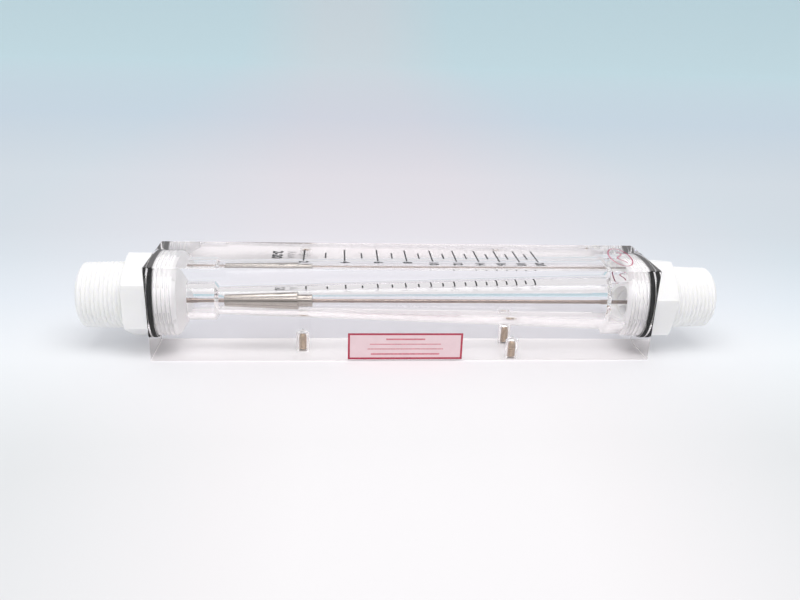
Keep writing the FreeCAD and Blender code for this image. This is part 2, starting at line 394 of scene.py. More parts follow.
# %% The turning tree
def turning_tree():
    tree = bpy.data.node_groups.new("Turned part", "GeometryNodeTree")
    sockets = tree.interface
    sockets.new_socket("Rows", in_out="INPUT", socket_type="NodeSocketGeometry")
    sockets.new_socket("Segments", in_out="INPUT", socket_type="NodeSocketInt").default_value = 96
    sockets.new_socket("Axis height", in_out="INPUT", socket_type="NodeSocketFloat")
    sockets.new_socket("Turn", in_out="INPUT", socket_type="NodeSocketFloat")
    sockets.new_socket("Run-out", in_out="INPUT", socket_type="NodeSocketFloat").default_value = 0.001
    sockets.new_socket("Material", in_out="INPUT", socket_type="NodeSocketMaterial")
    sockets.new_socket("Part", in_out="OUTPUT", socket_type="NodeSocketGeometry")
    net = Net(tree)
    given = net.add("NodeGroupInput")
    count = net.add("GeometryNodeAttributeDomainSize", {"component": "MESH"}, {"Geometry": given})
    columns = given.out("Segments") + 1
    grid = net.add("GeometryNodeMeshGrid",
                   sockets={"Vertices X": count.out("Point Count"), "Vertices Y": columns})
    index = net.add("GeometryNodeInputIndex")
    line = net.maths("FLOOR", index / columns)
    share = (index % columns) / given.out("Segments")

    def read(field, data_type):
        return net.add("GeometryNodeSampleIndex", {"data_type": data_type},
                       {"Geometry": given, "Value": field, "Index": line})

    def attribute(name):
        field = net.add("GeometryNodeInputNamedAttribute", {"data_type": "FLOAT"}, {"Name": name})
        return read(field, "FLOAT")

    point = split(net, read(net.add("GeometryNodeInputPosition"), "FLOAT_VECTOR"))
    low, high = attribute("low"), attribute("high")
    angle = given.out("Turn") + share * math.tau
    climbed = point.out("X") + attribute("lead") * angle / math.tau
    x = net.maths("MINIMUM", net.maths("MAXIMUM", climbed, low), high)
    from_ends = net.maths("MINIMUM", x - low, high - x)
    depth = attribute("cut") * net.maths("MINIMUM", from_ends / given.out("Run-out"), 1.0)
    round_radius = point.out("Z") + attribute("slope") * (x - low) - depth
    flat = attribute("flat")
    sixth = math.tau / 6
    across = net.maths("COSINE", (share * math.tau) % sixth - sixth / 2)
    pressed = net.maths("MINIMUM", round_radius, flat / across)
    is_flat = flat > 0.0
    radius = round_radius + (pressed - round_radius) * is_flat
    y = radius * net.maths("SINE", angle)
    z = radius * net.maths("COSINE", angle) + given.out("Axis height")
    place = net.add("ShaderNodeCombineXYZ", sockets={0: x, 1: y, 2: z})
    rolled = net.add("GeometryNodeSetPosition", sockets={"Geometry": grid, "Position": place})
    closed = net.add("GeometryNodeMergeByDistance", sockets={"Geometry": rolled, "Distance": MERGE_DISTANCE})
    real = net.add("GeometryNodeRealizeInstances", sockets={"Geometry": closed})
    dressed = net.add("GeometryNodeSetMaterial",
                      sockets={"Geometry": real, "Material": given.out("Material")})
    net.finish("NodeGroupOutput", "Part", dressed)
    return tree


TURNING = turning_tree()
print("turning tree:", len(TURNING.nodes), "nodes")

# %% From tree to mesh
SHARP_ANGLE = math.radians(28)
SEGMENTS = 192
RUN_OUT = 0.8 * MM


def run_tree(name, start_mesh, tree, values):
    """Runs a geometry tree on a mesh and returns the result as a plain mesh with outward faces."""
    holder = bpy.data.objects.new(name, start_mesh)
    bpy.context.scene.collection.objects.link(holder)
    modifier = holder.modifiers.new("tree", "NODES")
    modifier.node_group = tree
    for label, value in values.items():
        modifier[tree.interface.items_tree[label].identifier] = value
    shaped = holder.evaluated_get(bpy.context.evaluated_depsgraph_get())
    mesh = bpy.data.meshes.new_from_object(shaped)
    bpy.data.objects.remove(holder)
    return tidy_mesh(mesh, name)


def tidy_mesh(mesh, name):
    """Merges doubles, turns faces outwards and leaves edges sharp where the form turns a corner."""
    shape = bmesh.new()
    shape.from_mesh(mesh)
    bmesh.ops.remove_doubles(shape, verts=shape.verts, dist=MERGE_DISTANCE)
    bmesh.ops.dissolve_degenerate(shape, edges=shape.edges, dist=MERGE_DISTANCE / 2)
    bmesh.ops.recalc_face_normals(shape, faces=shape.faces)
    shape.to_mesh(mesh)
    shape.free()
    mesh.name = name
    for face in mesh.polygons:
        face.use_smooth = True
    mesh.set_sharp_from_angle(angle=SHARP_ANGLE)
    return mesh


def turned_mesh(name, rows, material, segments=SEGMENTS, turn=0.0, axis_height=AXIS_Z, run_out=RUN_OUT):
    """A turned part from its rows. A chain that doesn't end on the axis is closed back to its first row."""
    closed = rows if rows[0]["radius"] == 0 else rows + rows[:1]
    chain = bpy.data.meshes.new(name + "_rows")
    chain.from_pydata([(r["x"], 0, r["radius"]) for r in closed],
                      [(i, i + 1) for i in range(len(closed) - 1)], [])
    for label in ROW_NAMES:
        chain.attributes.new(label, "FLOAT", "POINT").data.foreach_set("value", [r[label] for r in closed])
    return run_tree(name, chain, TURNING, {
        "Segments": segments, "Axis height": axis_height, "Turn": turn, "Run-out": run_out,
        "Material": material})


def put(name, mesh, body, *replaced, slot=None):
    """Links a finished mesh as a piece of the object that rides on a body."""
    piece = bpy.data.objects.new(name, mesh)
    bpy.context.scene.collection.objects.link(piece)
    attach(piece, body)
    if replaced:
        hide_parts(*replaced)
    print("%s: %d faces" % (name, len(mesh.polygons)))
    return piece


print("mesh helpers ready")

# %% [markdown]
# ## End fittings
# Each fitting is machined from one bar: a taper pipe thread outside, a hexagon for the wrench, a neck for
# the O-ring and a straight thread that screws into the block. A hairline is left between plastic and acrylic,
# because the thin air film in a real joint is what makes the block's end face mirror the O-ring. For the same
# reason the joint's two threads, which one function makes, stay a tenth of a millimetre apart.

# %% Fitting sizes
HEX_ACROSS_FLATS = 39.7 * MM
HEX_THICKNESS = 12.35 * MM
HEX_CHAMFER = 0.6 * MM
HEX_TURN_DEG = {"inlet_fitting": 31.6, "outlet_fitting": 15.5}
HAIRLINE = 0.05 * MM
PIPE_END_RADIUS = 16.2 * MM
PIPE_TAPER = 1 / 32
PIPE_PITCH = 2.209 * MM
PIPE_THREAD_DEPTH = 1.1 * MM
PIPE_RELIEF = 0.5 * MM
PIPE_FILLET = 0.3 * MM
JOINT_PITCH = 2.117 * MM
JOINT_CREST_RADIUS = 18.95 * MM
JOINT_THREAD_DEPTH = 0.8 * MM
JOINT_THREAD_GAP = 0.1 * MM
NECK_SLOPE = 0.3 * MM
FITTING_CHAMFER = 1.6 * MM
THREAD_CHAMFER = 1.0 * MM
WATERWAY_CHAMFER = 0.5 * MM
FITTING_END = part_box("outlet_fitting")[1].x
FITTING_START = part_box("outlet_fitting")[0].x
SPIDER_THICKNESS = 4.0 * MM
SEAT_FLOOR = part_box("outlet_rod_support")[0].x + SPIDER_THICKNESS
print("fitting: x %.1f to %.1f mm" % (FITTING_START / MM, FITTING_END / MM))


# %% Fitting rows
def mirrored(rows):
    """The same rows on the inlet side. A thread keeps its hand, so its lead isn't turned round."""
    return [dict(r, x=-r["x"], low=-r["high"], high=-r["low"], slope=-r["slope"]) for r in rows]


def joint_thread(radius):
    """Thread of the joint between block and fitting, the same for both but for a small gap in radius."""
    neck_end = BODY_END - GLAND_DEPTH
    low, high = FITTING_START + THREAD_CHAMFER, neck_end - NECK_SLOPE
    turns = thread_rows(low, high, neck_end, radius, 0.0, JOINT_PITCH, JOINT_THREAD_DEPTH)
    return [row(low, radius)] + turns + [row(high, radius)]


def fitting_rows():
    """The outlet fitting, from its inner end along the outside to the pipe end, and back up the waterway."""
    corner = HEX_ACROSS_FLATS / math.sqrt(3)
    flat = HEX_ACROSS_FLATS / 2
    hex_start = BODY_END + HAIRLINE
    hex_end = BODY_END + HEX_THICKNESS
    pipe_low = hex_end + PIPE_RELIEF
    pipe_high = FITTING_END - FITTING_CHAMFER
    pipe_radius = PIPE_END_RADIUS + PIPE_TAPER * (FITTING_END - pipe_low)
    rows = [row(FITTING_START, SPIDER_RADIUS), row(FITTING_START, JOINT_CREST_RADIUS - THREAD_CHAMFER)]
    rows += joint_thread(JOINT_CREST_RADIUS)
    rows += [row(BODY_END - GLAND_DEPTH, NECK_RADIUS), row(hex_start, NECK_RADIUS)]
    for x, radius in ((hex_start, corner - HEX_CHAMFER), (hex_start + HEX_CHAMFER / 2, corner),
                      (hex_end - HEX_CHAMFER, corner), (hex_end, corner - 2 * HEX_CHAMFER)):
        rows.append(row(x, radius, flat=flat))
    rows += [row(hex_end, pipe_radius + PIPE_FILLET), row(pipe_low, pipe_radius)]
    rows += thread_rows(pipe_low, pipe_high, pipe_low, pipe_radius, -PIPE_TAPER, PIPE_PITCH,
                        PIPE_THREAD_DEPTH)
    rows += [row(pipe_high, PIPE_END_RADIUS), row(FITTING_END, PIPE_END_RADIUS - FITTING_CHAMFER)]
    rows += [row(FITTING_END, WATERWAY_RADIUS + WATERWAY_CHAMFER)]
    rows += [row(FITTING_END - WATERWAY_CHAMFER, WATERWAY_RADIUS)]
    rows += [row(SEAT_FLOOR, WATERWAY_RADIUS), row(SEAT_FLOOR, SPIDER_RADIUS)]
    return rows


def make_fitting(name, rows):
    turn = math.radians(HEX_TURN_DEG[name] - 90)
    mesh = turned_mesh(name + "_turned", rows, PVC, turn=turn)
    put(name + "_turned", mesh, "meter", name, slot="white_pvc")


make_fitting("inlet_fitting", mirrored(fitting_rows()))
make_fitting("outlet_fitting", fitting_rows())

# %% [markdown]
# ## O-rings
# A pressed O-ring wets the acrylic, so nothing mirrors between them and the ring shows black right to its
# rim. The ring's outside is therefore let into the gland wall by a few hundredths of a millimetre.

# %% O-ring rows
RING_WIDTH = 2.7 * MM
RING_WETTING = 0.04 * MM
RING_CORNER = 0.3 * MM
CORNER_STEPS = 4


def o_ring_rows(side):
    """A squashed section: flat where it is pressed, with rounded corners."""
    inner, outer = NECK_RADIUS, GLAND_RADIUS + RING_WETTING
    near, far = BODY_END - GLAND_DEPTH, BODY_END - GLAND_DEPTH + RING_WIDTH
    corners = ((far, outer), (near, outer), (near, inner), (far, inner))
    rows = []
    for quarter, (corner_x, corner_r) in enumerate(corners):
        x = corner_x + (RING_CORNER if corner_x == near else -RING_CORNER)
        r = corner_r + (RING_CORNER if corner_r == inner else -RING_CORNER)
        for step in range(CORNER_STEPS + 1):
            angle = math.pi / 2 * (quarter + step / CORNER_STEPS)
            rows.append(row(side * (x + RING_CORNER * math.cos(angle)), r + RING_CORNER * math.sin(angle)))
    return rows


for ring_side, ring_name in ((-1, "inlet_o_ring"), (1, "outlet_o_ring")):
    put(ring_name + "_pressed", turned_mesh(ring_name + "_pressed", o_ring_rows(ring_side), RUBBER),
        "meter", ring_name, slot="o_ring_rubber")

# %% [markdown]
# ## The block
# The block is a box with broken edges. The bore is made first as a solid plug, on the same lathe as the
# fittings and with the joint threads on it, and then taken away from the box. A drilled hole's wall and the
# ground back scatter light, so each face takes its finish from where it lies.

# %% Bore plug
TAP_LEAD = 0.6 * MM
BORE_OVERSHOOT = 2 * MM


def bore_rows():
    """The bore from the inlet's end face to the outlet's, a little longer than the block."""
    gland_floor = BODY_END - GLAND_DEPTH
    beyond = BODY_END + BORE_OVERSHOOT
    thread_radius = JOINT_CREST_RADIUS + JOINT_THREAD_GAP
    outlet = [row(BODY_END - PORT_DEPTH, PORT_RADIUS), row(FITTING_START - TAP_LEAD, PORT_RADIUS)]
    outlet += joint_thread(thread_radius) + [row(gland_floor, thread_radius), row(gland_floor, GLAND_RADIUS)]
    outlet += [row(beyond, GLAND_RADIUS), row(beyond, 0)]
    inlet_floor = PORT_DEPTH - BODY_END + (PORT_RADIUS - INLET_BORE_RADIUS) / DRILL_SLOPE
    throat = INLET_BORE_END + (INLET_BORE_RADIUS - METER_START_RADIUS) / DRILL_SLOPE
    outlet_floor = METER_END + (PORT_RADIUS - METER_END_RADIUS) / DRILL_SLOPE
    middle = [row(inlet_floor, INLET_BORE_RADIUS), row(INLET_BORE_END, INLET_BORE_RADIUS)]
    middle += [row(throat, METER_START_RADIUS), row(METER_END, METER_END_RADIUS)]
    middle += [row(outlet_floor, PORT_RADIUS)]
    return mirrored(outlet[::-1]) + middle + outlet


print("bore plug:", len(bore_rows()), "rows")

# %% Insert hole plugs
INSERT_CLEARANCE = 0.2 * MM
INSERT_HOLE_DEPTH = 10.2 * MM
INSERT_SEGMENTS = 64
POCKET_OVERSHOOT = 1 * MM
INSERT_NODES = [name for name in frame["nodes"] if name.startswith("mounting_insert")]


def stood_up(mesh, node):
    """A part that was turned along X, stood upright on the back face in the middle of a node's box."""
    low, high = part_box(node)
    place = Matrix.Translation(((low.x + high.x) / 2, (low.y + high.y) / 2, 0))
    mesh.transform(place @ Matrix.Rotation(-math.pi / 2, 4, "Y"))
    return mesh


def insert_plug(node):
    low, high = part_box(node)
    radius = (high.x - low.x) / 2 + INSERT_CLEARANCE
    rows = [row(-POCKET_OVERSHOOT, 0), row(-POCKET_OVERSHOOT, radius), row(INSERT_HOLE_DEPTH, radius),
            row(INSERT_HOLE_DEPTH + radius / DRILL_SLOPE, 0)]
    return stood_up(turned_mesh(node + "_plug", rows, ACRYLIC, INSERT_SEGMENTS, axis_height=0), node)


print("insert holes:", len(INSERT_NODES))

# %% Label pocket
LABEL_LOW = Vector((-30.3, 1.0)) * MM
LABEL_HIGH = Vector((29.7, 15.8)) * MM
LABEL_POCKET = 0.06 * MM


def plate(x_low, z_low, x_high, z_high, front, back):
    """A thin plate along the near face, between two depths behind it."""
    shape = bmesh.new()
    bmesh.ops.create_cube(shape, size=1)
    bmesh.ops.scale(shape, vec=(x_high - x_low, back - front, z_high - z_low), verts=shape.verts)
    middle = ((x_low + x_high) / 2, NEAR + (front + back) / 2, (z_low + z_high) / 2)
    bmesh.ops.translate(shape, vec=middle, verts=shape.verts)
    mesh = bpy.data.meshes.new("plate")
    shape.to_mesh(mesh)
    shape.free()
    return mesh


# %% Cut the block
def block_mesh():
    shape = bmesh.new()
    bmesh.ops.create_cube(shape, size=1)
    size = body_high - body_low
    bmesh.ops.scale(shape, vec=size, verts=shape.verts)
    bmesh.ops.translate(shape, vec=(body_high + body_low) / 2, verts=shape.verts)
    bmesh.ops.bevel(shape, geom=shape.edges[:], offset=EDGE_BREAK, segments=1, affect="EDGES", profile=0.5)
    mesh = bpy.data.meshes.new("block")
    shape.to_mesh(mesh)
    shape.free()
    mesh.materials.append(ACRYLIC)
    return mesh


def cut_away(mesh, plugs):
    """The mesh less each plug, by exact Boolean modifiers."""
    scene = bpy.context.scene.collection.objects
    block = bpy.data.objects.new("block", mesh)
    scene.link(block)
    holders = []
    for plug in plugs:
        holder = bpy.data.objects.new("plug", plug)
        scene.link(holder)
        holders.append(holder)
        modifier = block.modifiers.new("cut", "BOOLEAN")
        modifier.operation = "DIFFERENCE"
        modifier.solver = "EXACT"
        modifier.object = holder
    result = bpy.data.meshes.new_from_object(block.evaluated_get(bpy.context.evaluated_depsgraph_get()))
    for holder in holders + [block]:
        bpy.data.objects.remove(holder)
    return result


plugs = [turned_mesh("bore_plug", bore_rows(), ACRYLIC)]
plugs += [insert_plug(node) for node in INSERT_NODES]
plugs += [plate(LABEL_LOW.x, LABEL_LOW.y, LABEL_HIGH.x, LABEL_HIGH.y, -POCKET_OVERSHOOT, LABEL_POCKET)]
body_mesh = tidy_mesh(cut_away(block_mesh(), plugs), "acrylic_block")
print("cut the block with", len(plugs), "plugs")

# %% Finish the block
BLOCK_FINISHES = (ACRYLIC, GROUND_ACRYLIC, CUT_ACRYLIC, DRILLED_ACRYLIC)
DRILL_TIP_REACH = 2.2 * MM
GLAND_WALL_MARGIN = 0.3 * MM


def in_insert_hole(centre):
    """True for a face on the wall or the point of a drilled insert hole."""
    if centre.z > INSERT_HOLE_DEPTH + DRILL_TIP_REACH:
        return False
    for node in INSERT_NODES:
        low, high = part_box(node)
        reach = (high.x - low.x) / 2 + 2 * INSERT_CLEARANCE
        if math.hypot(centre.x - (low.x + high.x) / 2, centre.y - (low.y + high.y) / 2) < reach:
            return True
    return False


def finish_at(centre):
    """Polished outside and in the bore; ports and drilled holes show the cutter, and the back is ground."""
    if centre.z < EDGE_BREAK:
        return GROUND_ACRYLIC
    if abs(centre.x) > BODY_END - EDGE_BREAK:
        return ACRYLIC
    from_axis = math.hypot(centre.y, centre.z - AXIS_Z)
    inlet_cone = PORT_DEPTH + (PORT_RADIUS - INLET_BORE_RADIUS) / DRILL_SLOPE
    in_port = centre.x < inlet_cone - BODY_END or centre.x > BODY_END - PORT_DEPTH
    if in_port and from_axis < GLAND_RADIUS - GLAND_WALL_MARGIN:
        return CUT_ACRYLIC
    return DRILLED_ACRYLIC if in_insert_hole(centre) else ACRYLIC


body_mesh.materials.clear()
for finish in BLOCK_FINISHES:
    body_mesh.materials.append(finish)
for face in body_mesh.polygons:
    face.material_index = BLOCK_FINISHES.index(finish_at(face.center))
put("acrylic_block", body_mesh, "meter", "body", slot="acrylic")

# %% [markdown]
# ## The scale
# The flow through a tapered bore grows faster than the float's travel, so the ticks crowd together as they
# rise: the place of a flow follows a power law. A geometry tree lays the ticks from that law. They are
# printed on the block, so each one is let a hair into the surface: then the bore mirrors them, as print on
# clear plastic does.

# %% Tick tree
SCALE_START = -53.2 * MM
SCALE_LENGTH = 122.35 * MM
SCALE_POWER = 0.605
FLOWS = (2, 20)
LONG_TICK = (9.3 * MM, -9.5 * MM)
SHORT_TICK = (3.9 * MM, -5.0 * MM)
TICK_WIDTH = 0.8 * MM
INK_DEPTH = 0.03 * MM
INK_RISE = 0.01 * MM
ROUNDING_GUARD = 0.001


def flow_place(flow):
    """X of a flow's tick."""
    first, last = (f ** SCALE_POWER for f in FLOWS)
    return SCALE_START + SCALE_LENGTH * (flow ** SCALE_POWER - first) / (last - first)


def tick_tree():
    tree = bpy.data.node_groups.new("Scale ticks", "GeometryNodeTree")
    sockets = tree.interface
    for label in ("First flow", "Last flow", "Step", "Lowest flow", "Highest flow", "Scale start",
                  "Scale length", "Power", "Tick top", "Tick length", "Tick width", "Ink height",
                  "Ink thickness"):
        sockets.new_socket(label, in_out="INPUT", socket_type="NodeSocketFloat")
    sockets.new_socket("Material", in_out="INPUT", socket_type="NodeSocketMaterial")
    sockets.new_socket("Ticks", in_out="OUTPUT", socket_type="NodeSocketGeometry")
    net = Net(tree)
    given = net.add("NodeGroupInput")
    first, last, step = given.out("First flow"), given.out("Last flow"), given.out("Step")
    count = net.maths("FLOOR", (last - first) / step + (1 + ROUNDING_GUARD))
    line = net.add("GeometryNodeMeshLine", {"mode": "OFFSET"}, {"Count": count})
    flow = first + net.add("GeometryNodeInputIndex") * step
    power = given.out("Power")
    lowest = net.maths("POWER", given.out("Lowest flow"), power)
    highest = net.maths("POWER", given.out("Highest flow"), power)
    along = (net.maths("POWER", flow, power) - lowest) / (highest - lowest)
    x = given.out("Scale start") + given.out("Scale length") * along
    y = given.out("Tick top") - given.out("Tick length") / 2
    place = net.add("ShaderNodeCombineXYZ", sockets={0: x, 1: y, 2: given.out("Ink height")})
    spots = net.add("GeometryNodeSetPosition", sockets={"Geometry": line, "Position": place})
    size = net.add("ShaderNodeCombineXYZ", sockets={
        0: given.out("Tick width"), 1: given.out("Tick length"), 2: given.out("Ink thickness")})
    bar = net.add("GeometryNodeMeshCube", sockets={"Size": size})
    bars = net.add("GeometryNodeInstanceOnPoints", sockets={"Points": spots, "Instance": bar})
    real = net.add("GeometryNodeRealizeInstances", sockets={"Geometry": bars})
    dressed = net.add("GeometryNodeSetMaterial",
                      sockets={"Geometry": real, "Material": given.out("Material")})
    net.finish("NodeGroupOutput", "Ticks", dressed)
    return tree


TICKS = tick_tree()


def make_ticks(name, first, last, step, reach):
    mesh = run_tree(name, bpy.data.meshes.new(name), TICKS, {
        "First flow": first, "Last flow": last, "Step": step,
        "Lowest flow": float(FLOWS[0]), "Highest flow": float(FLOWS[1]), "Scale start": SCALE_START,
        "Scale length": SCALE_LENGTH, "Power": SCALE_POWER, "Tick top": reach[0],
        "Tick length": reach[0] - reach[1], "Tick width": TICK_WIDTH,
        "Ink height": TOP + (INK_RISE - INK_DEPTH) / 2, "Ink thickness": INK_RISE + INK_DEPTH,
        "Material": BLACK_INK})
    return put(name, mesh, "meter")


make_ticks("scale_long_ticks", 2.0, 20.0, 2.0, LONG_TICK)
make_ticks("scale_short_ticks", 3.0, 19.0, 2.0, SHORT_TICK)

# %% [markdown]
# ## Numbers
# The numbers stand beside the long ticks and read with the meter upright, inlet down. Text is made as a flat
# curve, turned into a mesh and moved, and only then raised to the ink's thickness, so that it closes all
# round and its object stays at the origin. Below the scale stand its range in plain numbers and three plain
# chevrons for the way that the flow goes.

# %% Printed shapes
CAPITAL_SHARE = 0.7
INK_MIDDLE = TOP + (INK_RISE - INK_DEPTH) / 2
INK_THICKNESS = INK_RISE + INK_DEPTH
NUMBER_WEIGHT = 0.045
CURVE_STEPS = 3


def thickened(mesh):
    """A flat sheet at the ink's underside, raised to its thickness and closed all round."""
    shape = bmesh.new()
    shape.from_mesh(mesh)
    bmesh.ops.remove_doubles(shape, verts=shape.verts, dist=MERGE_DISTANCE)
    grown = bmesh.ops.extrude_face_region(shape, geom=shape.faces[:])
    risen = [item for item in grown["geom"] if isinstance(item, bmesh.types.BMVert)]
    bmesh.ops.translate(shape, vec=(0, 0, INK_THICKNESS), verts=risen)
    shape.to_mesh(mesh)
    shape.free()
    return mesh


def ink_numbers(words, height, width, x, y, align):
    """Mesh of numbers whose up is +X and whose reading direction is -Y, let into the scale face."""
    curve = bpy.data.curves.new("numbers", "FONT")
    curve.body = words
    size = height / CAPITAL_SHARE
    curve.size = size
    curve.align_x = align
    curve.align_y = "CENTER"
    curve.fill_mode = "FRONT"
    curve.offset = size * NUMBER_WEIGHT
    curve.resolution_u = CURVE_STEPS
    holder = bpy.data.objects.new("numbers", curve)
    bpy.context.scene.collection.objects.link(holder)
    mesh = bpy.data.meshes.new_from_object(holder.evaluated_get(bpy.context.evaluated_depsgraph_get()))
    bpy.data.objects.remove(holder)
    turn = Matrix.Rotation(-math.pi / 2, 4, "Z") @ Matrix.Diagonal((width, 1, 1, 1))
    mesh.transform(Matrix.Translation((x, y, TOP - INK_DEPTH)) @ turn)
    return thickened(mesh)


def ink_stroke(points, width, looped=False):
    """A pen stroke of one width along points on the scale face."""
    path = [Vector(p) for p in points]
    count = len(path)
    corners = []
    for i, point in enumerate(path):
        before = path[i - 1] if i or looped else point
        after = path[(i + 1) % count] if looped or i + 1 < count else point
        along = (after - before).normalized()
        side = Vector((-along.y, along.x)) * width / 2
        for edge in (point - side, point + side):
            for level in (-INK_THICKNESS / 2, INK_THICKNESS / 2):
                corners.append((edge.x, edge.y, INK_MIDDLE + level))
    faces = []
    for i in range(count if looped else count - 1):
        a, b = 4 * i, 4 * ((i + 1) % count)
        faces += [(a + p, b + p, b + q, a + q) for p, q in ((0, 1), (1, 3), (3, 2), (2, 0))]
    if not looped:
        last = 4 * (count - 1)
        faces += [(0, 1, 3, 2), (last + 2, last + 3, last + 1, last)]
    mesh = bpy.data.meshes.new("stroke")
    mesh.from_pydata(corners, [], faces)
    return mesh


def joined(name, meshes, material):
    shape = bmesh.new()
    for mesh in meshes:
        shape.from_mesh(mesh)
    bmesh.ops.recalc_face_normals(shape, faces=shape.faces)
    whole = bpy.data.meshes.new(name)
    shape.to_mesh(whole)
    shape.free()
    whole.materials.clear()
    whole.materials.append(material)
    for face in whole.polygons:
        face.material_index = 0
    return whole


print("ink lies", round(INK_DEPTH / MM, 3), "mm deep")

# %% Numbers, range and chevrons
NUMBER_HEIGHT = 4.5 * MM
NUMBER_WIDTH = 0.75
NUMBER_EDGE = -10.4 * MM
RANGE_PLACE = -67.2 * MM
RANGE_HEIGHT = 5.0 * MM
RANGE_WIDTH = 0.95
CHEVRON_PLACE = -59.7 * MM
CHEVRON_SIZE = (4.0 * MM, 3.0 * MM)
CHEVRON_SPACING = 3.9 * MM
CHEVRON_WEIGHT = 0.7 * MM


def chevron(y):
    """An open arrowhead that points up the scale."""
    rise, spread = CHEVRON_SIZE[0] / 2, CHEVRON_SIZE[1] / 2
    return ink_stroke([(CHEVRON_PLACE - rise, y - spread), (CHEVRON_PLACE + rise, y),
                       (CHEVRON_PLACE - rise, y + spread)], CHEVRON_WEIGHT)


numbers = [ink_numbers(str(flow), NUMBER_HEIGHT, NUMBER_WIDTH, flow_place(flow), NUMBER_EDGE, "LEFT")
           for flow in range(FLOWS[0], FLOWS[1] + 1, 2)]
numbers.append(ink_numbers("%d-%d" % FLOWS, RANGE_HEIGHT, RANGE_WIDTH, RANGE_PLACE, 0, "CENTER"))
put("scale_numbers", joined("scale_numbers", numbers, BLACK_INK), "meter")
chevrons = [chevron(step * CHEVRON_SPACING) for step in (-1, 0, 1)]
put("flow_chevrons", joined("flow_chevrons", chevrons, BLACK_INK), "meter")

# %% [markdown]
# ## Inspection mark and label
# An inspector rings the outlet end with a red pen: a slanting oval with one stroke inside. A blank label with
# a red border and plain ruled lines lies low on the near face.

# %% Inspection mark
MARK_PLACE = Vector((116.7, 0.5)) * MM
MARK_HALF_LENGTH = 15.0 * MM
MARK_HALF_WIDTH = 5.7 * MM
MARK_LEAN = math.radians(6)
PEN_WIDTH = 0.6 * MM
RIM_STEPS = 64
STROKE_STEPS = 24
STROKE_REACH = 0.62
STROKE_SWING = 0.3
STROKE_WAVES = 1.25


def on_mark(along, across):
    """A place in the mark's own leaning frame, where 1 is its rim."""
    y, x = along * MARK_HALF_LENGTH, across * MARK_HALF_WIDTH
    return MARK_PLACE + Vector((x * math.cos(MARK_LEAN) + y * math.sin(MARK_LEAN),
                                y * math.cos(MARK_LEAN) - x * math.sin(MARK_LEAN)))


def stroke_point(share):
    """A place on the stroke inside the ring: a wave that runs down the ring's length."""
    swing = STROKE_SWING * math.sin(math.tau * STROKE_WAVES * share)
    return on_mark(STROKE_REACH * (1 - 2 * share), swing)


turns = [math.tau * i / RIM_STEPS for i in range(RIM_STEPS)]
rim = [on_mark(math.cos(angle), math.sin(angle)) for angle in turns]
flourish = [stroke_point(i / STROKE_STEPS) for i in range(STROKE_STEPS + 1)]
pen_strokes = [ink_stroke(rim, PEN_WIDTH, looped=True), ink_stroke(flourish, PEN_WIDTH)]
put("inspection_mark", joined("inspection_mark", pen_strokes, PEN_INK), "meter")

# %% Label
BORDER = 1.05 * MM
LABEL_FACE = 0.02 * MM
LABEL_BACK = 0.09 * MM
RULES = ((12.4, 0.34, 0.9), (9.6, 0.62, 0.5), (6.9, 0.66, 0.5), (4.0, 0.6, 0.9))


def label_border():
    """One closed frame between the label's rim and a rectangle inside it."""
    (x0, z0), (x1, z1) = LABEL_LOW, LABEL_HIGH
    corners = []
    for x, z, inwards_x, inwards_z in ((x0, z0, 1, 1), (x1, z0, -1, 1), (x1, z1, -1, -1), (x0, z1, 1, -1)):
        for inset in (0, BORDER):
            for depth in (LABEL_FACE, LABEL_BACK):
                corners.append((x + inwards_x * inset, NEAR + depth, z + inwards_z * inset))
    faces = [(4 * i + p, 4 * ((i + 1) % 4) + p, 4 * ((i + 1) % 4) + q, 4 * i + q)
             for i in range(4) for p, q in ((0, 1), (1, 3), (3, 2), (2, 0))]
    mesh = bpy.data.meshes.new("label_border")
    mesh.from_pydata(corners, [], faces)
    return mesh


def label_rules():
    """Plain ruled lines on the label: each has a height, a share of the label's width, and a thickness."""
    middle = (LABEL_LOW.x + LABEL_HIGH.x) / 2
    width = LABEL_HIGH.x - LABEL_LOW.x
    return [plate(middle - width * share / 2, (height - thick / 2) * MM, middle + width * share / 2,
                  (height + thick / 2) * MM, LABEL_FACE / 2, LABEL_BACK / 2)
            for height, share, thick in RULES]


label_face = plate(LABEL_LOW.x + BORDER, LABEL_LOW.y + BORDER, LABEL_HIGH.x - BORDER,
                   LABEL_HIGH.y - BORDER, LABEL_FACE, LABEL_BACK)
put("label_face", joined("label_face", [label_face], LABEL_FILM), "meter")
put("label_border", joined("label_border", [label_border()], RED_INK), "meter")
put("label_rules", joined("label_rules", label_rules(), PALE_RED_INK), "meter")

# %% [markdown]
# ## Finishes of the solid pieces
# The float, rod, stops and supports keep the construction's own meshes, with a finish each.

# %% Dress the solids
def dress(node, material):
    solid = frame["nodes"][node]
    solid.data.materials.clear()
    solid.data.materials.append(material)


dress("float", FLOAT_STEEL)
for steel_node in ("guide_rod", "inlet_stop_sleeve", "outlet_stop_collar"):
    dress(steel_node, ROD_STEEL)
for pvc_node in ("inlet_rod_support", "outlet_rod_support"):
    dress(pvc_node, PVC)
print("dressed the steel and plastic solids")

# %% [markdown]
# ## Inserts
# The brass inserts are threaded outside, round-nosed, and stand a little below the back face. The air round
# them in their holes makes each one look only two thirds as wide as it is.

# %% Insert rows
INSERT_FIT = 0.1 * MM
INSERT_PITCH = 1.06 * MM
INSERT_ROOT = 0.3 * MM
INSERT_RUN_OUT = 0.3 * MM
INSERT_NOSE = 2.7 * MM
NOSE_STEPS = 8
INSERT_BORE = 2.07 * MM
INSERT_BORE_DEPTH = 7.0 * MM
INSERT_LEAD_IN = 0.35 * MM


